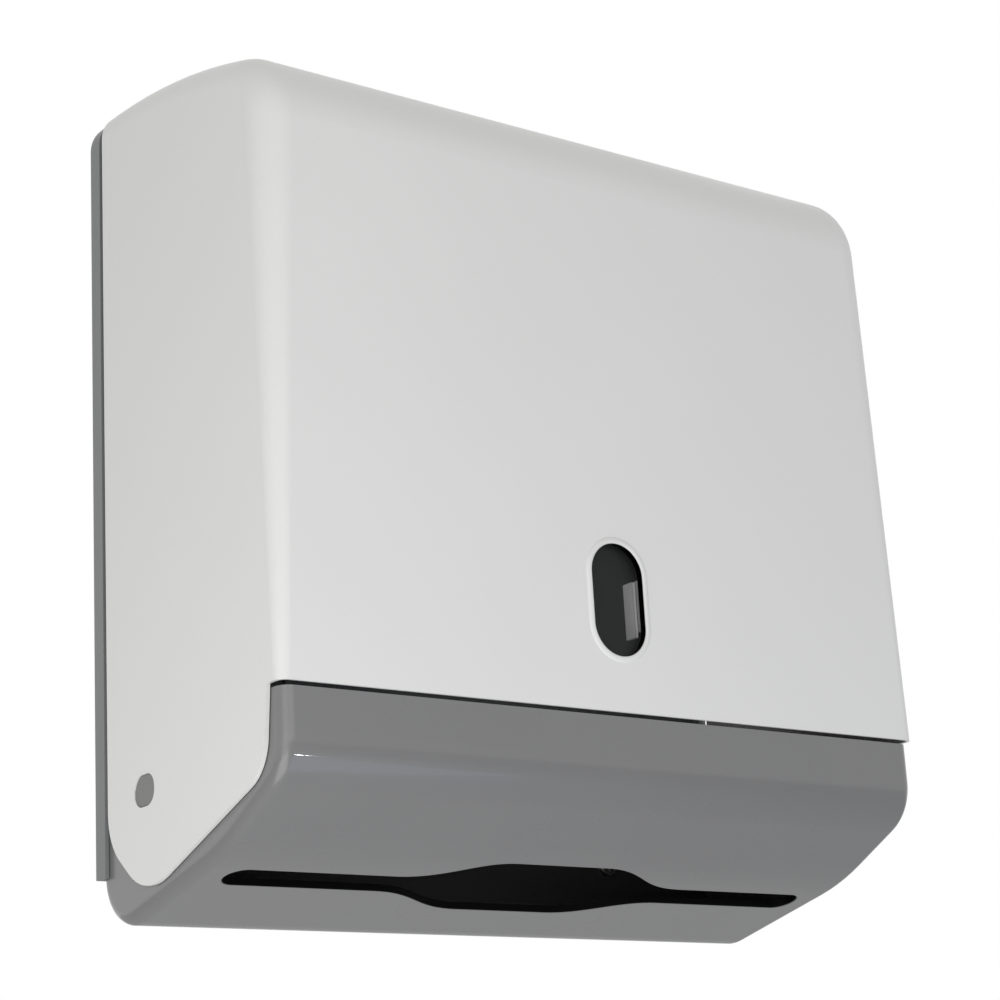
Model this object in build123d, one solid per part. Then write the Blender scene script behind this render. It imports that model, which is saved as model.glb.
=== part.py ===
from build123d import *
import math
import os

# Wall-hung dispenser for folded paper hand towels, in millimetres.  The origin lies on the
# wall plane at the middle of the back plate, +Z is up and +Y points into the wall, so the
# front of the cover looks along -Y.

os.makedirs("parts", exist_ok=True)

# ---------------------------------------------------------------- driving dimensions
width = 270.0            # across the cover, panel to panel
depth = 120.0            # wall to the front face
plate_height = 278.6     # back plate, top to bottom
wall = 2.5               # moulded wall of cover, tray and plate
seam_rise = 44.0         # lower edge of the cover's front above the plate's bottom edge

# cover
cover_back_gap = 2.2     # between the plate's rim and the rear edge of the cover
crest_gap = 0.2          # the crest lies this much below the plate's top edge
brow_radius = 29.2       # rounding between the front and the top
brow_slope = 18.9        # degrees that the top rises just behind the brow
rear_slope = 1.9         # degrees that the top rises at the wall
edge_low = 1.3           # rounding of the upright edges at the panels' foot
edge_least = 0.5         # least rounding of those edges inside the wall
edge_high = 11.0         # rounding of the brow's and the top's side edges
lip = 1.0                # thickness left at the lower edge of the cover's front
lip_height = 6.5         # height over which the lip thickens to the full wall
lip_corner = 2.8         # rounding inside the lip's corners
panel_wall = 1.4         # side panel where it hangs beside the tray
panel_front = 7.5        # panel's front edge at the seam, behind the cover's front
panel_lean = 2.8         # how much further back that edge is at its lower end
panel_bend = 16.0        # bend between the panel's front and lower edges
panel_drop = 43.8        # panel's lower edge below the seam, beside the slot
panel_slope = 0.363      # drop of that edge per millimetre towards the wall
panel_tip = 24.0         # rounding of the panel's lowest corner
panel_heel = 22.0        # rounding between the panel's rear edge and its tip
panel_swing = 50.0       # degrees that the cover opens
panel_rim_gap = 0.7      # between the open cover's panels and the plate's rim
swing_gap = 0.6          # between the tray's front edge and the cover that swings past it

# back plate
rim_depth = 6.6          # plate's rim, measured from the wall
rim_wall = 3.5           # thickness of that rim
plate_corner = 13.0      # rounding of the plate's top corners
screw_span_x = 190.0     # wall screw holes, across
screw_span_z = 160.0     # wall screw holes, up and down
screw_hole = 5.2
screw_pad = 16.0         # raised ring round each wall screw hole
pad_height = 1.2
rib_span = 120.0         # between the two towel ribs
rib_width = 3.0
rib_height = 2.0
rib_length = 170.0

# tray
tray_gap = 0.3           # between the cover's side panels and the tray
tray_set_back = 1.2      # tray's front behind the cover's front
seam_gap = 1.3           # open line between the cover and the tray
floor_mid = 51.2         # outside of the tray's floor below the seam, at the slot
floor_slope = 0.235      # drop of the floor per millimetre towards the wall
chin_drop = 26.6         # where the slanted part of the floor would meet the front
chin_slope = 0.525       # drop of the slanted part per millimetre towards the wall
bend_front = 19.0        # bend between the tray's front and the slanted part
bend_floor = 90.0        # bend between the slanted part and the floor
bend_rear = 18.0         # bend between the tray's floor and rear
tray_edge = 4.5          # rounding of the tray's side edges
tray_wall_gap = 0.4      # tray's heel off the wall, below the plate
plate_play = 0.3         # tray below the plate's bottom edge
slot_back = 58.0         # middle of the towel slot behind the cover's front
slot_half = 121.8        # half the slot's length
slot_narrow = 12.6       # slot's width at its ends
slot_wide = 38.0         # slot's width in the middle
slot_wide_half = 19.0    # half the length of the wide middle
slot_neck = 61.0         # from the middle to where the narrow part starts
slot_soft = 0.4          # rounding of the slot's edge under the floor
tray_screw_span = 160.0  # outer pair of tray screws
tray_screw_rise = 13.0   # tray screws above the plate's bottom edge
tray_screw = 4.0
tray_head = 8.0
head_height = 2.0

# hinge
hinge_back = 85.7        # hinge axis behind the cover's front
hinge_drop = 19.4        # hinge axis below the seam
head_long = 13.2         # oblong head of each hinge pin, keyed in the panel
head_tall = 10.6
head_round = 4.9         # rounding of the head's corners
head_recess = 0.3        # head's face below the panel's outside
pin_diameter = 8.0
pin_running = 0.05       # radial clearance of the pin in the tray's wall
pin_end = 1.5            # pin beyond its clip
clip_ring = 15.0
clip_ring_thick = 1.5
clip_ring_gap = 0.3      # between the clip and the tray's wall

# sight window
sight_width = 22.0
sight_height = 39.4
sight_mid = 38.8         # middle of the window above the seam
sight_end = 10.9         # rounding of the window's ends
lens_lap = 3.5           # lens behind the edge of the hole
lens_thick = 1.6
leg_height = 19.5        # legs behind the lens, to press it in by
leg_depth = 5.0
leg_thick = 1.2
leg_low = 1.5            # middle of the legs below the middle of the window
clip_height = 18.0
clip_thick = 1.2
clip_nose = 2.6          # hook over the lens
clip_play = 0.1

# lock
lock_back = 93.0         # lock axis behind the cover's front
barrel_diameter = 16.0
barrel_length = 18.0
barrel_flange = 20.0
flange_thick = 1.5
seat_sink = 0.2          # flat seats in the crowned top lie this deep
seat_play = 0.3          # round the flange and the nut in their seats
plug_diameter = 11.0
plug_running = 0.05
tang = 6.0               # square end of the plug
key_slot = 6.5
key_slot_width = 1.6
key_slot_depth = 4.0
cam_reach = 18.0         # lock axis to the cam's tip
cam_width = 10.0
cam_thick = 2.5
cam_play = 0.3           # between the barrel's end and the cam
nut_across = 22.0
nut_thick = 4.0
washer_diameter = 9.0
washer_thick = 0.8
cam_screw = 3.0
cam_head = 6.0
cam_screw_length = 8.0
fit_gap = 0.05           # radial gap of fasteners and bushes in their holes

# keeper
keeper_thick = 2.0
keeper_play = 2.0        # between the locked cam and the keeper's tab
keeper_side = 9.5        # tab's near edge beside the lock axis
keeper_tab = 16.0        # tab's width
keeper_height = 14.0
keeper_foot = 20.0
keeper_screw = 3.5
keeper_head = 7.0

# ---------------------------------------------------------------- places worked out
half = width / 2
front_y = -depth
plate_top = plate_height / 2
plate_bottom = -plate_height / 2
seam_z = plate_bottom + seam_rise
back_y = -rim_depth - cover_back_gap
crest_z = plate_top - crest_gap
steep, gentle = math.radians(brow_slope), math.radians(rear_slope)
brow_y = front_y + brow_radius
brow_end_y = brow_y - brow_radius * math.sin(steep)
top_radius = (back_y - brow_end_y) / (math.sin(steep) - math.sin(gentle))
top_y = back_y + top_radius * math.sin(gentle)
crown_z = crest_z - top_radius * math.cos(gentle)
brow_z = crown_z + (top_radius - brow_radius) * math.cos(steep)
hinge_y = front_y + hinge_back
hinge_z = seam_z - hinge_drop
tray_half = half - panel_wall - tray_gap
tray_front = front_y + tray_set_back
tray_top = seam_z - seam_gap
slot_y = front_y + slot_back
sight_z = seam_z + sight_mid
inner_y = front_y + wall
below = 200.0            # how far cutting shapes reach beyond what they cut


def floor_z(y):
    """Outside of the tray's floor at a distance from the wall."""
    return seam_z - floor_mid - floor_slope * (y - slot_y)


def chin_z(y):
    """Outside of the slanted part between the tray's front and its floor."""
    return seam_z - chin_drop - chin_slope * (y - tray_front)


def panel_z(y):
    """Lower edge line of the cover's side panels."""
    return seam_z - panel_drop - panel_slope * (y - slot_y)


def top_angle(y):
    """Slope of the cover's crowned top, in radians."""
    return math.asin((top_y - y) / top_radius)


def top_z(y):
    """Outside of the cover's crowned top."""
    return crown_z + top_radius * math.cos(top_angle(y))


def export(node, *solids):
    """Write one node; several solids stay separate in it."""
    shape = solids[0] if len(solids) == 1 else Compound(children=list(solids))
    export_step(shape, f"parts/{node}.step")


def bar(x0, x1, y0, y1, z0, z1):
    """Box between two corners."""
    size = Box(abs(x1 - x0), abs(y1 - y0), abs(z1 - z0))
    return Pos((x0 + x1) / 2, (y0 + y1) / 2, (z0 + z1) / 2) * size


def rod_x(radius, x0, x1, y, z):
    """Cylinder along X."""
    return Pos((x0 + x1) / 2, y, z) * Rot(0, 90, 0) * Cylinder(radius, abs(x1 - x0))


def rod_y(radius, y0, y1, x, z):
    """Cylinder along Y."""
    return Pos(x, (y0 + y1) / 2, z) * Rot(90, 0, 0) * Cylinder(radius, abs(y1 - y0))


def across(outline, x0, x1):
    """Extrude a closed outline, drawn in the YZ plane, from x0 to x1."""
    face = make_face(outline)
    return Pos(x0, 0, 0) * extrude(face, x1 - x0, dir=(1, 0, 0))


def mirrored(shape):
    """The same shape on the other side."""
    return shape.mirror(Plane.YZ)


# ---------------------------------------------------------------- cover
def rounding_face(plane, side, radius):
    """Material outside a quarter round, at a side edge, square to the edge."""
    over = 2.0
    k = radius * (1 - math.sqrt(0.5))
    outline = Wire([
        Edge.make_three_point_arc((side, radius), (side - k, k), (side - radius, 0)),
        Edge.make_line((side - radius, 0), (side - radius, -over)),
        Edge.make_line((side - radius, -over), (side + over, -over)),
        Edge.make_line((side + over, -over), (side + over, radius)),
        Edge.make_line((side + over, radius), (side, radius)),
    ])
    return plane * Face(outline)


def around_x(y, z, radius, angle):
    """Point of an arc in the YZ plane, at an angle from the forward direction upwards."""
    return (0, y - radius * math.cos(angle), z + radius * math.sin(angle))


def hood(inset, floor):
    """Closed form of the cover, smaller by an inset on every side but the rear."""
    y0 = front_y + inset
    brow_r, top_r = brow_radius - inset, top_radius - inset
    brow_turn = math.pi / 2 - steep
    crest_turn = math.pi / 2 - gentle
    brow_end = around_x(brow_y, brow_z, brow_r, brow_turn)
    rear = around_x(top_y, crown_z, top_r, crest_turn)
    outline = [
        Edge.make_line((0, back_y, floor), (0, y0, floor)),
        Edge.make_line((0, y0, floor), (0, y0, brow_z)),
        Edge.make_three_point_arc(
            (0, y0, brow_z), around_x(brow_y, brow_z, brow_r, brow_turn / 2), brow_end),
        Edge.make_three_point_arc(
            brow_end, around_x(top_y, crown_z, top_r, (brow_turn + crest_turn) / 2), rear),
        Edge.make_line(rear, (0, back_y, floor)),
    ]
    side = half - inset
    body = across(outline, -side, side)
    low, high = max(edge_low - inset, edge_least), edge_high - inset
    foot = Plane(origin=(0, y0, floor), x_dir=(1, 0, 0), z_dir=(0, 0, 1))
    brow = Plane(origin=(0, y0, brow_z), x_dir=(1, 0, 0), z_dir=(0, 0, 1))
    rise = (0, math.cos(steep), math.sin(steep))
    lid = Plane(origin=brow_end, x_dir=(1, 0, 0), z_dir=rise)
    front_edge = Solid.make_loft([
        rounding_face(foot, side, low).outer_wire(),
        rounding_face(brow, side, high).outer_wire()], ruled=True)
    brow_edge = revolve(
        rounding_face(brow, side, high), Axis((0, brow_y, brow_z), (-1, 0, 0)), 90 - brow_slope)
    past = 1.0
    top_edge = revolve(
        rounding_face(lid, side, high), Axis((0, top_y, crown_z), (-1, 0, 0)),
        brow_slope - rear_slope + past)
    for tool in (front_edge, brow_edge, top_edge):
        body = body - tool - mirrored(tool)
    return body


def sight_plate(grow, y0, y1):
    """Rounded upright block of the sight window's shape, larger by grow all round."""
    shape = RectangleRounded(
        sight_width + 2 * grow, sight_height + 2 * grow, sight_end + grow)
    face = Plane(origin=(0, y0, sight_z), x_dir=(1, 0, 0), z_dir=(0, 1, 0)) * shape
    return extrude(face, y1 - y0, dir=(0, 1, 0))


def panel_outline():
    """Outline of a side panel below the seam, in the YZ plane, closed above the seam."""
    fore_y = front_y + panel_front
    bend_y = fore_y + panel_lean
    # the line that comes to stand upright before the plate's rim when the cover is open
    swing = math.radians(panel_swing)
    reach = -rim_depth - panel_rim_gap - hinge_y
    steepness = 1 / math.tan(swing)
    at_hinge = hinge_z - reach / math.sin(swing)
    heel_z = at_hinge + steepness * (back_y - hinge_y)
    tip_y = hinge_y + (panel_z(hinge_y) - at_hinge) / (steepness + panel_slope)
    top = seam_z + 2 * wall
    edge = FilletPolyline(
        (0, fore_y, seam_z), (0, bend_y, panel_z(bend_y)), (0, tip_y, panel_z(tip_y)),
        (0, back_y, heel_z), (0, back_y, top), radius=[panel_bend, panel_tip, panel_heel])
    return edge.edges() + [
        Edge.make_line((0, back_y, top), (0, fore_y, top)),
        Edge.make_line((0, fore_y, top), (0, fore_y, seam_z)),
    ]


def sight_clip():
    """Hook on the right of the window that holds the lens."""
    edge = sight_width / 2 + lens_lap + clip_play
    hook_y = inner_y + lens_thick + clip_play
    low, high = sight_z - clip_height / 2, sight_z + clip_height / 2
    leg = bar(edge, edge + clip_thick, inner_y, hook_y + clip_thick, low, high)
    nose = bar(edge - clip_nose, edge, hook_y, hook_y + clip_thick, low, high)
    return leg + nose


def lip_cutter():
    """Thins the cover's wall towards the seam, so that it swings clear of the tray."""
    levels = ((seam_z, lip, panel_wall), (seam_z + lip_height, wall, wall))
    wires = []
    for z, front_wall, side_wall in levels:
        y0 = front_y + front_wall
        reach = 2 * depth
        flat = RectangleRounded(width - 2 * side_wall, reach, lip_corner)
        wires.append((Pos(0, y0 + reach / 2, z) * flat).face().outer_wire())
    return Solid.make_loft(wires, ruled=True)


def swing_pocket():
    """Round the hinge, room inside the side panels for the tray's whole side."""
    reach = tray_front - hinge_y
    turn = math.hypot(reach, tray_top - hinge_z) - swing_gap - lip
    inside = half - panel_wall
    disc = rod_x(turn, -inside, inside, hinge_y, hinge_z)
    keep = bar(-width, width, front_y - depth, front_y + edge_low, -plate_height, plate_height)
    return disc - keep


def lock_cutters():
    """Hole for the lock barrel and the flat seats of its flange and nut."""
    hole = lock_place(0) * Cylinder(barrel_diameter / 2 + fit_gap, 4 * wall)
    flange_seat = Cylinder(barrel_flange / 2 + seat_play, 2 * wall)
    nut_corner = nut_across / math.sqrt(3)
    nut_seat = Cylinder(nut_corner + seat_play, 2 * wall)
    return hole, lock_place(-wall) * flange_seat, lock_place(nut_down + wall) * nut_seat


def make_cover():
    """Cover: a thin hood with side panels that reach down beside the tray."""
    floor = seam_z - panel_drop - brow_radius
    shell = hood(0, floor) - hood(wall, floor - 5)
    under = bar(-width, width, front_y - 5, back_y + 5, floor - 5, seam_z)
    inside = half - panel_wall
    panels = across(panel_outline(), -half - 1, half + 1)
    middle = bar(-inside, inside, front_y - 5, back_y + 5, floor - 5, seam_z)
    shell = shell - (under - panels) - middle - lip_cutter() - swing_pocket()
    shell = shell - sight_plate(0, front_y - 1, inner_y + 1)
    keyhole = pin_head(fit_gap, -half - 1, half + 1)
    shell = shell - keyhole
    for cutter in lock_cutters():
        shell = shell - cutter
    clip = sight_clip()
    return shell + clip + mirrored(clip)


def make_lens():
    """Clear lens behind the sight window, with a leg on each side."""
    lens = sight_plate(lens_lap, inner_y, inner_y + lens_thick)
    edge, root = sight_width / 2, inner_y + lens_thick
    low, high = sight_z - leg_low - leg_height / 2, sight_z - leg_low + leg_height / 2
    leg = bar(edge - leg_thick, edge, root, root + leg_depth, low, high)
    return lens + leg + mirrored(leg)


# ---------------------------------------------------------------- back plate
def plate_block(inset, y0, y1, low):
    """Upright block with the back plate's rounded top corners, from y0 to y1."""
    block = bar(-half + inset, half - inset, y0, y1, low, plate_top - inset)
    uppers = [e for e in block.edges().filter_by(Axis.Y) if e.center().Z > 0]
    return fillet(uppers, plate_corner - inset)


def screw_places(span_x, span_z):
    """The four corners of a rectangle of screws."""
    return [(x * span_x / 2, z * span_z / 2) for x in (-1, 1) for z in (-1, 1)]


def tray_screw_places():
    """The row of screws that holds the tray to the plate."""
    z = plate_bottom + tray_screw_rise
    return [(-tray_screw_span / 2, z), (0, z), (tray_screw_span / 2, z)]


def keeper_screw_places():
    """The two screws in the keeper's foot."""
    x = keeper_side + keeper_tab + keeper_thick + keeper_foot / 2
    return [(x, keeper_mid - keeper_height / 4), (x, keeper_mid + keeper_height / 4)]


def make_plate():
    """Back plate: a sheet with a rim at its top and sides, ribs and wall screw rings."""
    body = plate_block(0, -rim_depth, 0, plate_bottom)
    body = body - plate_block(rim_wall, -rim_depth - 1, -wall, plate_bottom - 1)
    beside = tray_half + tray_gap
    body = body - bar(-beside, beside, -rim_depth - 1, -wall, plate_bottom - 1, seam_z)
    for x in (-rib_span / 2, rib_span / 2):
        rib = bar(x - rib_width / 2, x + rib_width / 2, -wall - rib_height, -wall,
                  -rib_length / 2, rib_length / 2)
        body = body + rib
    for x, z in screw_places(screw_span_x, screw_span_z):
        body = body + rod_y(screw_pad / 2, -wall - pad_height, -wall, x, z)
        body = body - rod_y(screw_hole / 2, -rim_depth, 1, x, z)
    for x, z in tray_screw_places():
        body = body - rod_y(tray_screw / 2 + fit_gap, -rim_depth, 1, x, z)
    for x, z in keeper_screw_places():
        body = body - rod_y(keeper_screw / 2 + fit_gap, -rim_depth, 1, x, z)
    return body


# ---------------------------------------------------------------- tray
def tray_form(inset, top, rear_y):
    """Closed form of the tray, smaller by an inset, up to a height and back to rear_y."""
    y0 = tray_front + inset
    chin_rise = inset * math.hypot(1, chin_slope)
    floor_rise = inset * math.hypot(1, floor_slope)
    ahead = chin_z(0) + chin_rise - floor_z(0) - floor_rise
    chin_y = ahead / (chin_slope - floor_slope)
    heel = bend_rear - (-tray_wall_gap - rear_y)
    side = FilletPolyline(
        (0, y0, top), (0, y0, chin_z(y0) + chin_rise), (0, chin_y, chin_z(chin_y) + chin_rise),
        (0, rear_y, floor_z(rear_y) + floor_rise), (0, rear_y, top),
        radius=[bend_front - inset, bend_floor - inset, heel])
    outline = side.edges() + [Edge.make_line((0, rear_y, top), (0, y0, top))]
    form = across(outline, -tray_half + inset, tray_half - inset)
    ends = form.faces().sort_by(Axis.X)
    loops = ends[0].edges() + ends[-1].edges()
    soft = [e for e in loops if e.center().Z < top - 0.5]
    return fillet(soft, tray_edge - inset)


def slot_cutter():
    """Towel slot: narrow at its ends, wide in the middle, cut straight down."""
    narrow, wide = slot_narrow / 2, slot_wide / 2
    blunt = slot_half - narrow
    round_x = blunt + narrow * math.sqrt(0.5)
    round_y = narrow * math.sqrt(0.5)
    flow = [(1, 0, 0), (1, 0, 0)]
    edges = []
    for s in (1, -1):
        edges += [
            Edge.make_line((-slot_wide_half, s * wide, 0), (slot_wide_half, s * wide, 0)),
            Edge.make_spline(
                [(slot_wide_half, s * wide, 0), (slot_neck, s * narrow, 0)], tangents=flow),
            Edge.make_spline(
                [(-slot_neck, s * narrow, 0), (-slot_wide_half, s * wide, 0)], tangents=flow),
            Edge.make_line((slot_neck, s * narrow, 0), (blunt, s * narrow, 0)),
            Edge.make_line((-blunt, s * narrow, 0), (-slot_neck, s * narrow, 0)),
        ]
    for s in (1, -1):
        edges.append(Edge.make_three_point_arc(
            (s * blunt, narrow, 0), (s * slot_half, 0, 0), (s * blunt, -narrow, 0)))
    face = make_face(edges)
    return Pos(0, slot_y, floor_z(slot_y) - below / 4) * extrude(face, below / 2)


def on_slot_mouth(edge):
    """Whether an edge lies round the towel slot, on the outside of the floor."""
    mid = edge.center()
    inside = abs(mid.X) < slot_half + 0.1 and abs(mid.Y - slot_y) < slot_wide / 2 + 0.1
    return inside and abs(mid.Z - floor_z(mid.Y)) < wall / 2


def make_tray():
    """Tray: an open box with a bent floor, the towel slot and a hole for each hinge pin."""
    body = tray_form(0, tray_top, -tray_wall_gap) - tray_form(wall, tray_top + 5, -2 * wall)
    body = body - bar(-half, half, -wall, 1, plate_bottom - plate_play, tray_top + 1)
    body = body - slot_cutter()
    mouth = [e for e in body.edges() if on_slot_mouth(e)]
    body = fillet(mouth, slot_soft)
    body = body - rod_x(pin_diameter / 2 + pin_running, -half, half, hinge_y, hinge_z)
    for x, z in tray_screw_places():
        body = body - rod_y(tray_screw / 2 + fit_gap, -3 * wall, 0, x, z)
    return body


def pin_head(grow, x0, x1):
    """Oblong block of the hinge pin's head, larger by grow all round, from x0 to x1."""
    shape = RectangleRounded(head_long + 2 * grow, head_tall + 2 * grow, head_round + grow)
    place = Plane(origin=(x0, hinge_y, hinge_z), x_dir=(0, 1, 0), z_dir=(1, 0, 0))
    return extrude(place * shape, x1 - x0, dir=(1, 0, 0))


def make_hinge_pin():
    """Hinge pin on the right: oblong head in the panel, round shank in the tray's wall."""
    inside = half - panel_wall
    head = pin_head(0, inside, half - head_recess)
    head = chamfer(head.faces().sort_by(Axis.X)[-1].edges(), head_recess)
    end = tray_half - wall - clip_ring_gap - clip_ring_thick - pin_end
    return head + rod_x(pin_diameter / 2, end, inside, hinge_y, hinge_z)


def make_pin_clip():
    """Push-on ring that keeps the right hinge pin in the tray's wall."""
    outer = tray_half - wall - clip_ring_gap
    ring = rod_x(clip_ring / 2, outer - clip_ring_thick, outer, hinge_y, hinge_z)
    return ring - rod_x(pin_diameter / 2, outer - 5, outer + 1, hinge_y, hinge_z)


def screw(diameter, length, head, x, y, z, depth_of_cross):
    """Pan-head screw that points into the wall, its head's underside at y."""
    shank = rod_y(diameter / 2, y, y + length, x, z)
    cap = rod_y(head / 2, y - head_height, y, x, z)
    cap = fillet(cap.faces().sort_by(Axis.Y)[0].edges(), head_height * 0.4)
    arm, thin = head * 0.3, head * 0.08
    cross_y = y - head_height + depth_of_cross
    cut = bar(x - arm, x + arm, y - head_height - 1, cross_y, z - thin, z + thin)
    cut = cut + bar(x - thin, x + thin, y - head_height - 1, cross_y, z - arm, z + arm)
    return cap + shank - cut


def make_tray_screws():
    """Screws from inside the tray into the back plate."""
    y = -2 * wall
    length = 2 * wall - fit_gap
    return [screw(tray_screw, length, tray_head, x, y, z, head_height / 2)
            for x, z in tray_screw_places()]


# ---------------------------------------------------------------- lock
lock_y = front_y + lock_back
tilt = top_angle(lock_y)
nut_down = wall - seat_sink


def lock_place(down):
    """Frame on the lock axis, at a distance below the flange's seat; its Z points out."""
    out = (0, -math.sin(tilt), math.cos(tilt))
    deep = seat_sink + down
    origin = (0, lock_y + deep * math.sin(tilt), top_z(lock_y) - deep * math.cos(tilt))
    return Plane(origin=origin, x_dir=(1, 0, 0), z_dir=out)


cam_down = barrel_length + cam_play
cam_centre = lock_place(cam_down + cam_thick / 2).origin
cam_axis_y, keeper_mid = cam_centre.Y, cam_centre.Z


def tube(outer, inner, start, end):
    """Ring on the lock axis between two distances below the flange's seat."""
    ring = Cylinder(outer / 2, end - start) - Cylinder(inner / 2, end - start + 1)
    return lock_place((start + end) / 2) * ring


def make_barrel():
    """Lock barrel with its flange on the cover's top."""
    bore = plug_diameter + 2 * plug_running
    neck = tube(barrel_diameter, bore, 0, barrel_length)
    return neck + tube(barrel_flange, bore, -flange_thick, 0)


def make_lock_nut():
    """Hexagonal nut that clamps the barrel from inside the cover."""
    blank = extrude(RegularPolygon(nut_across / 2, 6, major_radius=False), nut_thick)
    bored = blank - Cylinder(barrel_diameter / 2 + fit_gap, 3 * nut_thick)
    return lock_place(nut_down + nut_thick) * bored


def make_plug():
    """Lock plug: key slot at its face, square tang for the cam at its end."""
    top = -flange_thick + plug_running
    length = cam_down - top
    body = lock_place((top + cam_down) / 2) * Cylinder(plug_diameter / 2, length)
    square = Box(tang, tang, cam_thick - fit_gap)
    body = body + lock_place(cam_down + (cam_thick - fit_gap) / 2) * square
    slot = Box(key_slot, key_slot_width, 2 * key_slot_depth)
    body = body - lock_place(top) * slot
    bore = Cylinder(cam_screw / 2 + fit_gap, 2 * cam_screw_length)
    return body - lock_place(cam_down + cam_thick) * bore


def make_cam():
    """Cam that turns behind the keeper; unlocked it points to the wall."""
    blade = Pos(0, cam_reach / 2, 0) * Box(cam_width, cam_reach, cam_thick)
    tips = [e for e in blade.edges().filter_by(Axis.Z) if e.center().Y > cam_reach / 2]
    blade = fillet(tips, cam_width * 0.3)
    blade = blade + Cylinder(cam_width / 2, cam_thick)
    blade = blade - Box(tang + 2 * fit_gap, tang + 2 * fit_gap, 2 * cam_thick)
    return lock_place(cam_down + cam_thick / 2) * blade


def make_cam_washer():
    """Washer under the cam screw's head."""
    start = cam_down + cam_thick
    return tube(washer_diameter, cam_screw + 2 * fit_gap, start, start + washer_thick)


def make_cam_screw():
    """Screw up into the plug that holds the cam."""
    seat = cam_down + cam_thick + washer_thick
    shank = lock_place(seat - cam_screw_length / 2) * Cylinder(cam_screw / 2, cam_screw_length)
    cap = lock_place(seat + head_height / 2) * Cylinder(cam_head / 2, head_height)
    return shank + cap


def make_keeper():
    """Keeper: foot on the plate, arm beside the cam and a tab in front of it."""
    low, high = keeper_mid - keeper_height / 2, keeper_mid + keeper_height / 2
    tab_y = cam_axis_y - cam_width / 2 - keeper_play
    arm_x = keeper_side + keeper_tab
    outer = arm_x + keeper_thick
    foot_y = -wall - keeper_thick
    outline = Polyline(
        (keeper_side, tab_y - keeper_thick, low), (outer, tab_y - keeper_thick, low),
        (outer, foot_y, low), (outer + keeper_foot, foot_y, low),
        (outer + keeper_foot, -wall, low), (arm_x, -wall, low),
        (arm_x, tab_y, low), (keeper_side, tab_y, low), close=True)
    body = extrude(make_face(outline), high - low, dir=(0, 0, 1))
    for x, z in keeper_screw_places():
        body = body - rod_y(keeper_screw / 2 + fit_gap, foot_y - 1, 0, x, z)
    return body


def make_keeper_screws():
    """Screws in the keeper's foot."""
    y = -wall - keeper_thick
    length = wall + keeper_thick - fit_gap
    return [screw(keeper_screw, length, keeper_head, x, y, z, head_height / 2)
            for x, z in keeper_screw_places()]


# ---------------------------------------------------------------- all pieces
hinge_pin = make_hinge_pin()
pin_clip = make_pin_clip()
export("front_cover", make_cover())
export("sight_lens", make_lens())
export("back_plate", make_plate())
export("tray", make_tray())
export("hinge_pin_right", hinge_pin)
export("hinge_pin_left", mirrored(hinge_pin))
export("pin_clip_right", pin_clip)
export("pin_clip_left", mirrored(pin_clip))
export("tray_screws", *make_tray_screws())
export("lock_barrel", make_barrel())
export("lock_nut", make_lock_nut())
export("lock_plug", make_plug())
export("lock_cam", make_cam())
export("cam_washer", make_cam_washer())
export("cam_screw", make_cam_screw())
export("keeper", make_keeper())
export("keeper_screws", *make_keeper_screws())
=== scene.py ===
import math

import bmesh
import bpy
from mathutils import Matrix, Vector


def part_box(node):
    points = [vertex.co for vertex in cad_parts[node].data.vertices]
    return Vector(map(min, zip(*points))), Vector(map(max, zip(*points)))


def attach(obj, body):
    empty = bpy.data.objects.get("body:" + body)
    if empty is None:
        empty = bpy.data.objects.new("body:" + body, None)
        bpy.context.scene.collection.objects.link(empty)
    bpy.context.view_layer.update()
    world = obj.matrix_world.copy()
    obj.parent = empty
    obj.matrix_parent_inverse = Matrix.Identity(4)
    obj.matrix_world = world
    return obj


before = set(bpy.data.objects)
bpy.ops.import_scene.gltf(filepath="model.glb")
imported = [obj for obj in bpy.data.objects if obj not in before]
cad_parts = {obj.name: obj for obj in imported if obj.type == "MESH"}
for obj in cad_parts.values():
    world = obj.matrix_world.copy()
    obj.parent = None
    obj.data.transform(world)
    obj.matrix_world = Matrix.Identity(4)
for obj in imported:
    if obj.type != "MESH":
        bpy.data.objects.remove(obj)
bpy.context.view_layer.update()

bl_info = {
    "name": "Folded Towel Dispenser",
    "version": (1, 0, 0),
    "blender": (4, 5, 0),
    "location": "View3D > Sidebar > Dispenser",
    "description": "Finish and stage a wall-hung folded towel dispenser",
    "category": "Object",
}

MM = 0.001
UNIT = (0.0, 1.0)         # span of a mask

# ---------------------------------------------------------------- places
COVER_LOW, COVER_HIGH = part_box("front_cover")
LENS_LOW, LENS_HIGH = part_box("sight_lens")
TRAY_LOW, TRAY_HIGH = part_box("tray")
FRONT_Y = COVER_LOW.y
WINDOW_Z = (LENS_LOW.z + LENS_HIGH.z) / 2

# A face is on a shell's inside if its normal, multiplied by its place as
# seen from the shell's centre, is below the edge.
COVER_CENTRE = (0.0, (COVER_LOW.y + COVER_HIGH.y) / 2, 0.0)
COVER_EDGE = -0.02
TRAY_CENTRE = (0.0, (TRAY_LOW.y + TRAY_HIGH.y) / 2,
               (TRAY_LOW.z + TRAY_HIGH.z) / 2)
TRAY_EDGE = -0.002
# painted shade: the tray's inside is darkened to this share of its outside
# colour
TRAY_INSIDE_PAINTED_SHADE = 0.4   # colour inside the tray to that outside

# Box round a hole: its centre, its half size, and the axis against which
# the hole opens.
# The walls of these holes are painted near black as painted shade.
SLOT_BOX = ((0.0, -62.0 * MM, -140.0 * MM),
            (122.5 * MM, 21.5 * MM, 20.0 * MM), "Z")
WINDOW_BOX = ((0.0, FRONT_Y + 1.5 * MM, WINDOW_Z),
              (11.4 * MM, 1.5 * MM, 20.1 * MM), "Y")

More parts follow.
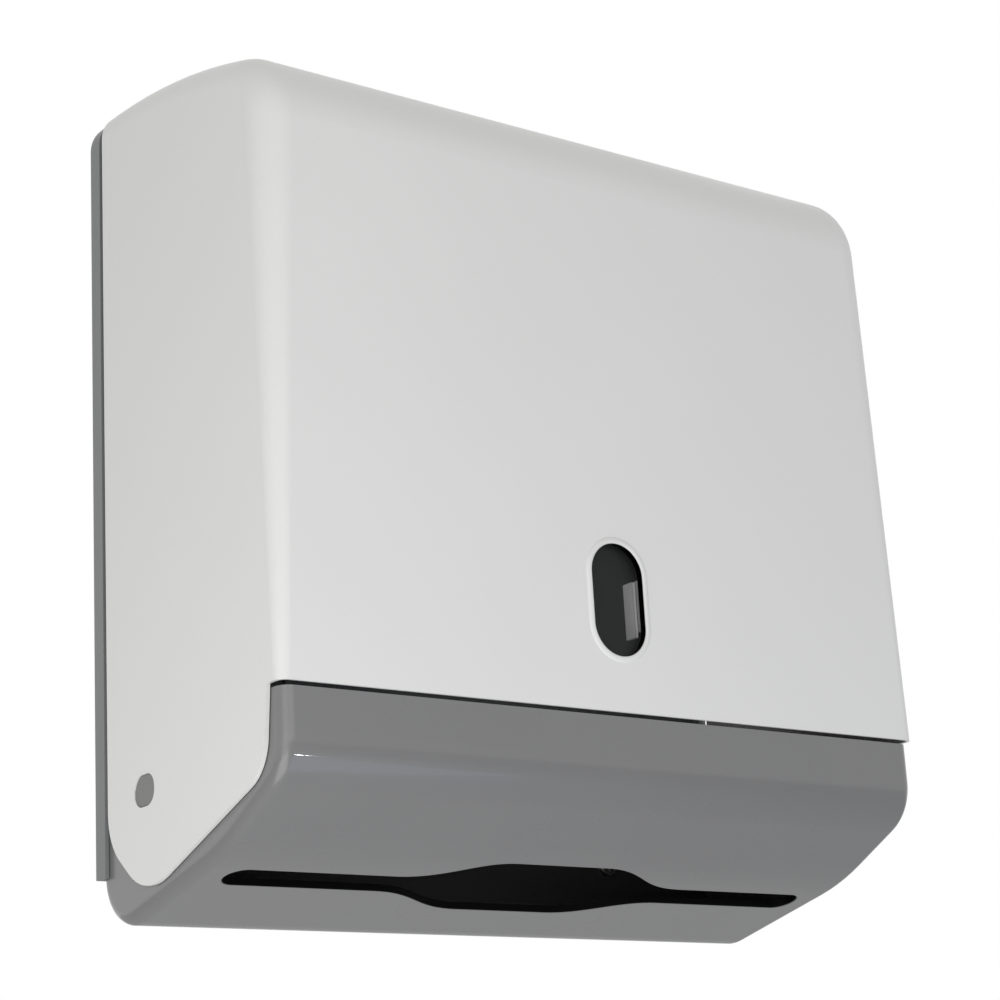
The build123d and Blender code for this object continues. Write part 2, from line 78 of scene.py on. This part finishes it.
# The bead's section as shares of its width (outwards) and height (off).
BEAD_SECTION = ((0.0, -0.5), (0.0, 0.45), (0.08, 0.8), (0.24, 1.0),
                (0.45, 1.0), (0.72, 0.75), (0.9, 0.35), (1.0, 0.0),
                (1.0, -0.5))
BEAD_SEGMENTS = 96

# ---------------------------------------------------------------- textures
# Scales are in features per metre, spans are levels of the noise.
CLOUD_SCALE, CLOUD_DETAIL = 14.0, 4.0
GLOSS_SPAN = (0.3, 0.7)
PEEL_DETAIL, PEEL_ROUGHNESS = 3.0, 0.6
PEEL_HEIGHT = 0.05 * MM
FLECK_SPAN, FLECK_SHADE = (0.62, 0.75), 0.88
INSIDE_ROUGHNESS = 0.6
WALL_NORMAL = -0.5        # walls look less than this against a hole's axis
PLASTIC_IOR = 1.48
COAT_ROUGHNESS = 0.045
PLATE_GRAIN = 0.8         # grain of the back plate to that of the cover
PIN_GRAIN = 0.6           # the same for the pins
SCUFF_SCALE, SCUFF_SPAN = 220.0, (0.45, 0.75)
SCUFF_ROUGHNESS = (0.03, 0.12)
STREAK_SCALE, STREAK_DETAIL = 300.0, 3.0
STREAK_STRETCH = (1.0, 1.0, 12.0)
STREAK_SPAN = (0.3, 0.7)

# The Mix node's colour sockets share their names with its number sockets.
MIX_A, MIX_B, MIX_RESULT = 6, 7, 2

# ---------------------------------------------------------------- stage
# Area lights: place, target, size, and the setting that holds the power.
LIGHTS = {
    "key_box": ((-0.55, -0.50, -0.20), (-0.05, -0.12, -0.05),
                (0.5, 0.6), "key_power"),
    "low_box": ((-0.40, -0.35, -0.60), (-0.05, -0.10, -0.10),
                (0.6, 0.5), "low_power"),
    "front_box": ((-0.20, -1.30, 0.10), (0.0, -0.08, 0.0),
                  (0.8, 0.8), "front_power"),
    "cool_strip": ((0.23, -0.54, -0.64), (-0.05, -0.12, -0.15),
                   (0.25, 0.36), "strip_power"),
    "spark": ((0.341, -0.760, -0.540), (-0.127, -0.117, -0.118),
              (0.009, 0.014), "spark_power"),
}
FLOOR_SIZE = 6.0
FLOOR_CLOUD_SCALE, FLOOR_CLOUD = 3.0, 0.02
FLOOR_ROUGHNESS = 0.9
CAMERA_PLACE = (-0.5183, -0.7442, -0.2610)
CAMERA_RIGHT = (0.8070, -0.5880, -0.0545)
CAMERA_BACK = (-0.5767, -0.7649, -0.2871)
CAMERA_SHIFT = -0.0025
CAMERA_CLIP = 0.01
SENSOR_WIDTH = 36.0       # in millimetres


# ---------------------------------------------------------------- settings
class ShellSettings(bpy.types.PropertyGroup):
    """Colours and grain of the moulded pieces."""

    cover_colour: bpy.props.FloatVectorProperty(
        name="Cover colour", description="Outside of the cover",
        default=(0.78, 0.78, 0.768), subtype="COLOR", min=0, max=1)
    # darker inside of the cover: partly bare grey plastic, partly painted
    # shade
    inside_bare_and_shade_colour: bpy.props.FloatVectorProperty(
        name="Inside colour", description="Rougher inside of the cover",
        default=(0.52, 0.52, 0.51), subtype="COLOR", min=0, max=1)
    # painted shade: near black on the walls of the slot and the window
    hole_shade_colour: bpy.props.FloatVectorProperty(
        name="Hole colour",
        description="Walls of the towel slot and of the window",
        default=(0.006, 0.006, 0.006), subtype="COLOR", min=0, max=1)
    tray_colour: bpy.props.FloatVectorProperty(
        name="Tray colour", description="Outside of the towel tray",
        default=(0.178, 0.178, 0.179), subtype="COLOR", min=0, max=1)
    plate_colour: bpy.props.FloatVectorProperty(
        name="Plate colour", description="Back plate",
        default=(0.20, 0.205, 0.205), subtype="COLOR", min=0, max=1)
    pin_colour: bpy.props.FloatVectorProperty(
        name="Pin colour", description="Hinge pins and their rings",
        default=(0.19, 0.19, 0.18), subtype="COLOR", min=0, max=1)
    grain_size: bpy.props.FloatProperty(
        name="Grain size",
        description="Width of one grain of the moulded texture",
        default=1.1 * MM, unit="LENGTH", min=0.1 * MM)


class SightSettings(bpy.types.PropertyGroup):
    """Sight window: its lens and the bead round it."""

    opening: bpy.props.FloatVectorProperty(
        name="Opening", description="Width and height of the window",
        default=(22.0 * MM, 39.4 * MM), size=2, unit="LENGTH")
    bead_width: bpy.props.FloatProperty(
        name="Bead width",
        description="Width of the raised bead round the window",
        default=2.2 * MM, unit="LENGTH", min=0.5 * MM)
    bead_height: bpy.props.FloatProperty(
        name="Bead height",
        description="How far the bead stands off the cover",
        default=0.55 * MM, unit="LENGTH", min=0.1 * MM)
    lens_thick: bpy.props.FloatProperty(
        name="Lens thickness",
        description="The legs begin this far behind the lens's face",
        default=1.7 * MM, unit="LENGTH", min=0.5 * MM)
    lens_density: bpy.props.FloatProperty(
        name="Lens density",
        description="How much of what is behind it the lens hides",
        default=0.18, subtype="FACTOR", min=0, max=1)
    lens_colour: bpy.props.FloatVectorProperty(
        name="Lens colour", description="Smoked lens",
        default=(0.020, 0.022, 0.023), subtype="COLOR", min=0, max=1)
    leg_colour: bpy.props.FloatVectorProperty(
        name="Leg colour", description="Frosted legs of the lens",
        default=(0.85, 0.85, 0.86), subtype="COLOR", min=0, max=1)


class StageSettings(bpy.types.PropertyGroup):
    """Floor, lights and camera."""

    floor_drop: bpy.props.FloatProperty(
        name="Floor drop",
        description="Floor below the middle of the back plate",
        default=0.9, unit="LENGTH")
    floor_colour: bpy.props.FloatVectorProperty(
        name="Floor colour", description="Pale floor under the dispenser",
        default=(0.90, 0.90, 0.90), subtype="COLOR", min=0, max=1)
    world_level: bpy.props.FloatProperty(
        name="World level", description="Soft light from all round",
        default=0.50, min=0)
    key_power: bpy.props.FloatProperty(
        name="Key power",
        description="Soft box close on the left of the front",
        default=1.0, unit="POWER", min=0)
    low_power: bpy.props.FloatProperty(
        name="Low power", description="Soft box below on the left",
        default=1.9, unit="POWER", min=0)
    front_power: bpy.props.FloatProperty(
        name="Front power", description="Large soft box before the front",
        default=1.6, unit="POWER", min=0)
    strip_power: bpy.props.FloatProperty(
        name="Strip power",
        description="Cool strip that glints on the tray's bend",
        default=0.3, unit="POWER", min=0)
    strip_colour: bpy.props.FloatVectorProperty(
        name="Strip colour", description="Colour of the cool strip",
        default=(0.50, 0.70, 1.0), subtype="COLOR", min=0, max=1)
    spark_power: bpy.props.FloatProperty(
        name="Spark power",
        description="Small lamp mirrored at the left end of the bend",
        default=0.08, unit="POWER", min=0)
    lens: bpy.props.FloatProperty(
        name="Lens", description="Focal length on a 36 mm sensor",
        default=88.92, min=10)


# ---------------------------------------------------------------- node helpers
def new_material(name):
    """Empty node material with a Principled BSDF joined to its output."""
    material = bpy.data.materials.new(name)
    material.use_nodes = True
    tree = material.node_tree
    tree.nodes.clear()
    output = tree.nodes.new("ShaderNodeOutputMaterial")
    shader = tree.nodes.new("ShaderNodeBsdfPrincipled")
    tree.links.new(shader.outputs["BSDF"], output.inputs["Surface"])
    return material, tree, shader


def feed(tree, socket, value):
    """Join a socket to another socket, or set its number or vector."""
    if value is None:
        return
    if isinstance(value, bpy.types.NodeSocket):
        tree.links.new(value, socket)
    elif socket.type == "RGBA":
        socket.default_value = (*value[:3], 1.0)
    else:
        socket.default_value = value


def math_node(tree, operation, a, b=None):
    """Math node whose inputs are sockets or numbers."""
    node = tree.nodes.new("ShaderNodeMath")
    node.operation = operation
    feed(tree, node.inputs[0], a)
    feed(tree, node.inputs[1], b)
    return node.outputs[0]


def vector_node(tree, operation, a, b=None):
    """Vector Math node whose inputs are sockets or triples."""
    node = tree.nodes.new("ShaderNodeVectorMath")
    node.operation = operation
    feed(tree, node.inputs[0], a)
    feed(tree, node.inputs[1], b)
    return node.outputs["Value" if operation == "DOT_PRODUCT" else "Vector"]


def noise(tree, place, scale, **settings):
    """Noise at a place; the scale is a socket or a number."""
    node = tree.nodes.new("ShaderNodeTexNoise")
    tree.links.new(place, node.inputs["Vector"])
    feed(tree, node.inputs["Scale"], scale)
    for name, value in settings.items():
        node.inputs[name].default_value = value
    return node.outputs["Fac"]


def map_range(tree, value, span, levels, curve="LINEAR"):
    """A span of a value brought to two levels, sockets or numbers."""
    node = tree.nodes.new("ShaderNodeMapRange")
    node.interpolation_type = curve
    tree.links.new(value, node.inputs["Value"])
    labels = ("From Min", "From Max", "To Min", "To Max")
    for label, level in zip(labels, (*span, *levels)):
        feed(tree, node.inputs[label], level)
    return node.outputs["Result"]


def ramp(tree, value, span, levels=UNIT):
    """Smooth step over a span of a value, put out between two levels."""
    return map_range(tree, value, span, levels, "SMOOTHSTEP")


def mix_colour(tree, mask, a, b):
    """Colour between a and b; both are sockets or colours."""
    node = tree.nodes.new("ShaderNodeMix")
    node.data_type = "RGBA"
    tree.links.new(mask, node.inputs["Factor"])
    feed(tree, node.inputs[MIX_A], a)
    feed(tree, node.inputs[MIX_B], b)
    return node.outputs[MIX_RESULT]


def shade(colour, factor):
    """A colour made lighter or darker."""
    return tuple(min(1.0, c * factor) for c in colour)


def cloudy(tree, mask, colour, spread):
    """A colour made darker and lighter by a share, by a mask."""
    return mix_colour(
        tree, mask, shade(colour, 1 - spread), shade(colour, 1 + spread))


def new_group(name, inputs, outputs):
    """Shader group; inputs are (name, type, default), outputs (name, type)."""
    group = bpy.data.node_groups.new(name, "ShaderNodeTree")
    for label, kind, default in inputs:
        socket = group.interface.new_socket(
            label, in_out="INPUT", socket_type=kind)
        socket.default_value = default
    for label, kind in outputs:
        group.interface.new_socket(label, in_out="OUTPUT", socket_type=kind)
    entry = group.nodes.new("NodeGroupInput")
    leave = group.nodes.new("NodeGroupOutput")
    return group, entry, leave


def add_group(tree, group, **values):
    """Group node with input values given by name, underscores for spaces."""
    node = tree.nodes.new("ShaderNodeGroup")
    node.node_tree = group
    for name, value in values.items():
        node.inputs[name.replace("_", " ")].default_value = value
    return node


def build_inside_mask():
    """Group: 1 on faces that look towards a centre, 0 on the others."""
    group, entry, leave = new_group(
        "inside_mask",
        [("Centre", "NodeSocketVector", (0.0, 0.0, 0.0)),
         ("Edge", "NodeSocketFloat", COVER_EDGE)],
        [("Mask", "NodeSocketFloat")])
    place = group.nodes.new("ShaderNodeTexCoord")
    away = vector_node(
        group, "SUBTRACT", place.outputs["Object"], entry.outputs["Centre"])
    facing = vector_node(group, "DOT_PRODUCT", place.outputs["Normal"], away)
    mask = math_node(group, "LESS_THAN", facing, entry.outputs["Edge"])
    group.links.new(mask, leave.inputs["Mask"])
    return group


def build_moulded_skin():
    """Group: clouds, specks, gloss changes and peel of moulded plastic."""
    group, entry, leave = new_group(
        "moulded_skin",
        [("Grain", "NodeSocketFloat", 1.1 * MM),
         ("Depth", "NodeSocketFloat", 0.2),
         ("Gloss low", "NodeSocketFloat", 0.3),
         ("Gloss high", "NodeSocketFloat", 0.4)],
        [("Clouds", "NodeSocketFloat"), ("Speckle", "NodeSocketFloat"),
         ("Roughness", "NodeSocketFloat"), ("Normal", "NodeSocketVector")])
    place = group.nodes.new("ShaderNodeTexCoord").outputs["Object"]
    clouds = noise(group, place, CLOUD_SCALE, Detail=CLOUD_DETAIL)
    peel = noise(
        group, place, math_node(group, "DIVIDE", 1.0, entry.outputs["Grain"]),
        Detail=PEEL_DETAIL, Roughness=PEEL_ROUGHNESS)
    rough = map_range(
        group, clouds, GLOSS_SPAN,
        (entry.outputs["Gloss low"], entry.outputs["Gloss high"]))
    bump = group.nodes.new("ShaderNodeBump")
    bump.inputs["Distance"].default_value = PEEL_HEIGHT
    group.links.new(entry.outputs["Depth"], bump.inputs["Strength"])
    group.links.new(peel, bump.inputs["Height"])
    results = {"Clouds": clouds, "Speckle": peel, "Roughness": rough,
               "Normal": bump.outputs["Normal"]}
    for label, result in results.items():
        group.links.new(result, leave.inputs[label])
    return group


def wall_mask(tree, centre, half, axis):
    """1 on the walls of a hole inside a box, 0 elsewhere."""
    place = tree.nodes.new("ShaderNodeTexCoord")
    offset = vector_node(tree, "SUBTRACT", place.outputs["Object"], centre)
    reach = vector_node(tree, "ABSOLUTE", offset)
    spare = tree.nodes.new("ShaderNodeSeparateXYZ")
    tree.links.new(
        vector_node(tree, "SUBTRACT", half, reach), spare.inputs["Vector"])
    least = math_node(tree, "MINIMUM", spare.outputs["X"], spare.outputs["Y"])
    least = math_node(tree, "MINIMUM", least, spare.outputs["Z"])
    within = math_node(tree, "GREATER_THAN", least, 0.0)
    normal = tree.nodes.new("ShaderNodeSeparateXYZ")
    tree.links.new(place.outputs["Normal"], normal.inputs["Vector"])
    wall = math_node(tree, "GREATER_THAN", normal.outputs[axis], WALL_NORMAL)
    return math_node(tree, "MULTIPLY", within, wall)


# ---------------------------------------------------------------- finishes
def moulded_plastic(name, colour, skin, *, grain, depth, gloss, cloud,
                    coat=0.0, fleck=0.35, inside=None, hole=None):
    """Moulded plastic; its inside darker, partly as painted shade, and a
    hole's walls painted shade.
    """
    material, tree, shader = new_material(name)
    surface = add_group(tree, skin, Grain=grain, Depth=depth,
                        Gloss_low=gloss[0], Gloss_high=gloss[1])
    tint = cloudy(tree, surface.outputs["Clouds"], colour, cloud)
    speck = ramp(tree, surface.outputs["Speckle"], FLECK_SPAN)
    speck = math_node(tree, "MULTIPLY", speck, fleck)
    tint = mix_colour(tree, speck, tint, shade(colour, FLECK_SHADE))
    roughness = surface.outputs["Roughness"]
    # darker colour on inside faces: in the cover partly bare plastic and
    # partly painted shade, in the tray painted shade
    if inside:
        group, centre, edge, back = inside
        mask = add_group(tree, group, Centre=centre, Edge=edge).outputs["Mask"]
        tint = mix_colour(tree, mask, tint, back)
        matt = ramp(tree, mask, UNIT, (0.0, INSIDE_ROUGHNESS))
        roughness = math_node(tree, "MAXIMUM", roughness, matt)
    shader.inputs["Coat Weight"].default_value = coat
    # painted shade: the walls of the hole are painted near black
    if hole:
        *box, dark = hole
        mask = wall_mask(tree, *box)
        tint = mix_colour(tree, mask, tint, dark)
        # the painted shade is kept dark by making the wall a black metal,
        # which shows no pale shine
        tree.links.new(mask, shader.inputs["Metallic"])
        tree.links.new(
            ramp(tree, mask, UNIT, (coat, 0.0)), shader.inputs["Coat Weight"])
    tree.links.new(tint, shader.inputs["Base Color"])
    tree.links.new(roughness, shader.inputs["Roughness"])
    tree.links.new(surface.outputs["Normal"], shader.inputs["Normal"])
    shader.inputs["IOR"].default_value = PLASTIC_IOR
    shader.inputs["Coat Roughness"].default_value = COAT_ROUGHNESS
    return material


def clear_plastic(name, s):
    """See-through smoked lens, faintly scuffed, with frosted legs."""
    material, tree, shader = new_material(name)
    place = tree.nodes.new("ShaderNodeTexCoord").outputs["Object"]
    split = tree.nodes.new("ShaderNodeSeparateXYZ")
    tree.links.new(place, split.inputs["Vector"])
    leg = math_node(
        tree, "GREATER_THAN", split.outputs["Y"], LENS_LOW.y + s.lens_thick)
    tint = mix_colour(tree, leg, s.lens_colour, s.leg_colour)
    tree.links.new(tint, shader.inputs["Base Color"])
    cover = ramp(tree, leg, UNIT, (s.lens_density, 1.0))
    tree.links.new(cover, shader.inputs["Alpha"])
    scuff = ramp(
        tree, noise(tree, place, SCUFF_SCALE), SCUFF_SPAN, SCUFF_ROUGHNESS)
    tree.links.new(scuff, shader.inputs["Roughness"])
    return material


def plated_metal(name, colour, *, gloss, streak):
    """Plated metal with fine turned or drawn streaks."""
    material, tree, shader = new_material(name)
    place = tree.nodes.new("ShaderNodeTexCoord").outputs["Object"]
    mapping = tree.nodes.new("ShaderNodeMapping")
    mapping.inputs["Scale"].default_value = STREAK_STRETCH
    tree.links.new(place, mapping.inputs["Vector"])
    streaks = noise(tree, mapping.outputs["Vector"], STREAK_SCALE,
                    Detail=STREAK_DETAIL)
    tint = cloudy(tree, streaks, colour, streak)
    tree.links.new(tint, shader.inputs["Base Color"])
    roughness = ramp(tree, streaks, STREAK_SPAN, gloss)
    tree.links.new(roughness, shader.inputs["Roughness"])
    shader.inputs["Metallic"].default_value = 1.0
    return material


def dress(names, material):
    """Give CAD nodes one material."""
    for name in names:
        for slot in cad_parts[name].material_slots:
            slot.material = material


def add_object(name, data):
    """New object in the scene."""
    item = bpy.data.objects.new(name, data)
    bpy.context.scene.collection.objects.link(item)
    return item


def add_form(name, form):
    """New object in the scene with the shape of a bmesh, which is freed."""
    mesh = bpy.data.meshes.new(name)
    form.to_mesh(mesh)
    form.free()
    return add_object(name, mesh)


# ---------------------------------------------------------------- operators
class DISPENSER_OT_finish_shells(bpy.types.Operator):
    """Give the cover, tray, back plate and pins their moulded plastic"""

    bl_idname = "dispenser.finish_shells"
    bl_label = "Finish moulded pieces"

    def execute(self, context):
        s = context.scene.dispenser_shell
        inside = build_inside_mask()
        skin = build_moulded_skin()
        grain = s.grain_size
        cover = moulded_plastic(
            "cover_white", s.cover_colour, skin, grain=grain, depth=0.18,
            gloss=(0.30, 0.38), cloud=0.02,
            inside=(inside, COVER_CENTRE, COVER_EDGE, s.inside_bare_and_shade_colour),
            hole=(*WINDOW_BOX, s.hole_shade_colour))
        tray = moulded_plastic(
            "tray_grey", s.tray_colour, skin, grain=grain, depth=0.16,
            gloss=(0.24, 0.33), cloud=0.05, coat=0.4, fleck=1.0,
            inside=(inside, TRAY_CENTRE, TRAY_EDGE,
                    shade(s.tray_colour, TRAY_INSIDE_PAINTED_SHADE)),
            hole=(*SLOT_BOX, s.hole_shade_colour))
        plate = moulded_plastic(
            "plate_grey", s.plate_colour, skin, grain=grain * PLATE_GRAIN,
            depth=0.35, gloss=(0.42, 0.52), cloud=0.05)
        pin = moulded_plastic(
            "pin_grey", s.pin_colour, skin, grain=grain * PIN_GRAIN,
            depth=0.2, gloss=(0.35, 0.45), cloud=0.04)
        dress(["front_cover"], cover)
        dress(["tray"], tray)
        dress(["back_plate"], plate)
        dress(["hinge_pin_left", "hinge_pin_right",
               "pin_clip_left", "pin_clip_right"], pin)
        return {"FINISHED"}


class DISPENSER_OT_finish_sight(bpy.types.Operator):
    """Make the sight lens clear and lay the bead round the window"""

    bl_idname = "dispenser.finish_sight"
    bl_label = "Finish sight window"

    def execute(self, context):
        s = context.scene.dispenser_sight
        dress(["sight_lens"], clear_plastic("lens_clear", s))
        bead = self.make_bead(s)
        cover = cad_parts["front_cover"]
        bead.data.materials.append(cover.material_slots[0].material)
        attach(bead, "cover")
        return {"FINISHED"}

    def make_bead(self, s):
        """Raised bead: its section carried round a stretched circle."""
        half_wide, half_tall = s.opening[0] / 2, s.opening[1] / 2
        stretch = half_tall - half_wide
        form = bmesh.new()
        ring = bmesh.ops.create_circle(
            form, segments=BEAD_SEGMENTS, radius=half_wide)["verts"]
        turns = [math.atan2(v.co.y, v.co.x) for v in ring]
        section = [(out * s.bead_width, off * s.bead_height)
                   for out, off in BEAD_SECTION]

        def lay(verts, out, off):
            """Put a loop of the bead outwards of the window and off it."""
            radius = half_wide + out
            for vert, turn in zip(verts, turns):
                rise = math.copysign(stretch, math.sin(turn))
                vert.co = (radius * math.cos(turn), FRONT_Y - off,
                           WINDOW_Z + rise + radius * math.sin(turn))

        lay(ring, *section[0])
        first = edges = list(form.edges)
        for out, off in section[1:]:
            grown = bmesh.ops.extrude_edge_only(form, edges=edges)["geom"]
            fresh = [g for g in grown if isinstance(g, bmesh.types.BMVert)]
            edges = [g for g in grown if isinstance(g, bmesh.types.BMEdge)
                     and all(v in fresh for v in g.verts)]
            old = {v: n for n, v in enumerate(ring)}
            order = {old[e.other_vert(v)]: v for v in fresh
                     for e in v.link_edges if e.other_vert(v) in old}
            ring = [order[n] for n in range(len(turns))]
            lay(ring, out, off)
        bmesh.ops.bridge_loops(form, edges=[*first, *edges])
        bmesh.ops.recalc_face_normals(form, faces=form.faces)
        for face in form.faces:
            face.smooth = True
        return add_form("sight_bead", form)


class DISPENSER_OT_finish_metal(bpy.types.Operator):
    """Plate the lock, the keeper and the fasteners"""

    bl_idname = "dispenser.finish_metal"
    bl_label = "Finish lock and fasteners"

    def execute(self, context):
        chrome = plated_metal("lock_chrome", (0.50, 0.50, 0.51),
                              gloss=(0.12, 0.22), streak=0.04)
        zinc = plated_metal("zinc_steel", (0.48, 0.48, 0.47),
                            gloss=(0.28, 0.42), streak=0.10)
        dress(["lock_barrel", "lock_plug"], chrome)
        dress(["lock_nut", "lock_cam", "cam_washer", "cam_screw", "keeper",
               "keeper_screws", "tray_screws"], zinc)
        return {"FINISHED"}


class DISPENSER_OT_set_stage(bpy.types.Operator):
    """Pale floor, soft lights, white background and the camera"""

    bl_idname = "dispenser.set_stage"
    bl_label = "Set the stage"

    def execute(self, context):
        s = context.scene.dispenser_stage
        self.make_floor(s)
        context.scene.world = self.make_world(s)
        for name, (place, target, size, power) in LIGHTS.items():
            self.make_light(name, place, target, size, getattr(s, power))
        bpy.data.lights["cool_strip"].color = s.strip_colour
        context.scene.camera = self.make_camera(s)
        context.scene.view_settings.view_transform = "Standard"
        return {"FINISHED"}

    def make_floor(self, s):
        """Large pale floor below the dispenser."""
        form = bmesh.new()
        bmesh.ops.create_grid(
            form, x_segments=1, y_segments=1, size=FLOOR_SIZE)
        bmesh.ops.translate(
            form, verts=form.verts, vec=(0.0, 0.0, -s.floor_drop))
        floor = add_form("floor", form)
        material, tree, shader = new_material("floor_pale")
        place = tree.nodes.new("ShaderNodeTexCoord").outputs["Object"]
        clouds = noise(tree, place, FLOOR_CLOUD_SCALE)
        tint = cloudy(tree, clouds, s.floor_colour, FLOOR_CLOUD)
        tree.links.new(tint, shader.inputs["Base Color"])
        shader.inputs["Roughness"].default_value = FLOOR_ROUGHNESS
        floor.data.materials.append(material)

    def make_world(self, s):
        """White where it is seen or mirrored, and a soft level as light."""
        world = bpy.data.worlds.new("studio")
        world.use_nodes = True
        tree = world.node_tree
        tree.nodes.clear()
        output = tree.nodes.new("ShaderNodeOutputWorld")
        background = tree.nodes.new("ShaderNodeBackground")
        ray = tree.nodes.new("ShaderNodeLightPath").outputs
        seen = math_node(
            tree, "MAXIMUM", ray["Is Camera Ray"], ray["Is Glossy Ray"])
        seen = math_node(tree, "MAXIMUM", seen, ray["Is Transmission Ray"])
        strength = map_range(tree, seen, UNIT, (s.world_level, 1.0))
        tree.links.new(strength, background.inputs["Strength"])
        background.inputs["Color"].default_value = (1.0, 1.0, 1.0, 1.0)
        tree.links.new(
            background.outputs["Background"], output.inputs["Surface"])
        return world

    def make_light(self, name, place, target, size, power):
        """Rectangular soft box that looks at a target."""
        lamp = bpy.data.lights.new(name, "AREA")
        lamp.shape = "RECTANGLE"
        lamp.size, lamp.size_y = size
        lamp.energy = power
        box = add_object(name, lamp)
        box.location = place
        look = Vector(target) - Vector(place)
        box.rotation_euler = look.to_track_quat("-Z", "Y").to_euler()

    def make_camera(self, s):
        """Camera low on the left, looking up at the dispenser."""
        camera = bpy.data.cameras.new("camera")
        camera.sensor_width = SENSOR_WIDTH
        camera.lens = s.lens
        camera.shift_y = CAMERA_SHIFT
        camera.clip_start = CAMERA_CLIP
        rig = add_object("camera", camera)
        back = Vector(CAMERA_BACK)
        up = back.cross(Vector(CAMERA_RIGHT)).normalized()
        right = up.cross(back).normalized()
        axes = Matrix((right, up, back.normalized())).transposed().to_4x4()
        rig.matrix_world = Matrix.Translation(CAMERA_PLACE) @ axes
        return rig


class DISPENSER_PT_panel(bpy.types.Panel):
    """Dispenser steps and settings"""

    bl_idname = "DISPENSER_PT_panel"
    bl_label = "Towel Dispenser"
    bl_space_type = "VIEW_3D"
    bl_region_type = "UI"
    bl_category = "Dispenser"

    def draw(self, context):
        layout = self.layout
        for operator in OPERATORS:
            layout.operator(operator.bl_idname)
        for name in SETTINGS:
            settings = getattr(context.scene, name)
            box = layout.box()
            for key in settings.bl_rna.properties.keys():
                if key not in {"rna_type", "name"}:
                    box.prop(settings, key)


OPERATORS = (
    DISPENSER_OT_finish_shells,
    DISPENSER_OT_finish_sight,
    DISPENSER_OT_finish_metal,
    DISPENSER_OT_set_stage,
)
SETTINGS = {
    "dispenser_shell": ShellSettings,
    "dispenser_sight": SightSettings,
    "dispenser_stage": StageSettings,
}


def register():
    """Add the classes and their settings to Blender."""
    for group in SETTINGS.values():
        bpy.utils.register_class(group)
    for name, group in SETTINGS.items():
        setattr(bpy.types.Scene, name, bpy.props.PointerProperty(type=group))
    for cls in (*OPERATORS, DISPENSER_PT_panel):
        bpy.utils.register_class(cls)


def unregister():
    """Take the classes and their settings out again."""
    for cls in (DISPENSER_PT_panel, *reversed(OPERATORS)):
        bpy.utils.unregister_class(cls)
    for name, group in SETTINGS.items():
        delattr(bpy.types.Scene, name)
        bpy.utils.unregister_class(group)


def main():
    """Finish every piece and set the stage."""
    register()
    bpy.ops.dispenser.finish_shells()
    bpy.ops.dispenser.finish_sight()
    bpy.ops.dispenser.finish_metal()
    bpy.ops.dispenser.set_stage()


if __name__ == "__main__":
    main()
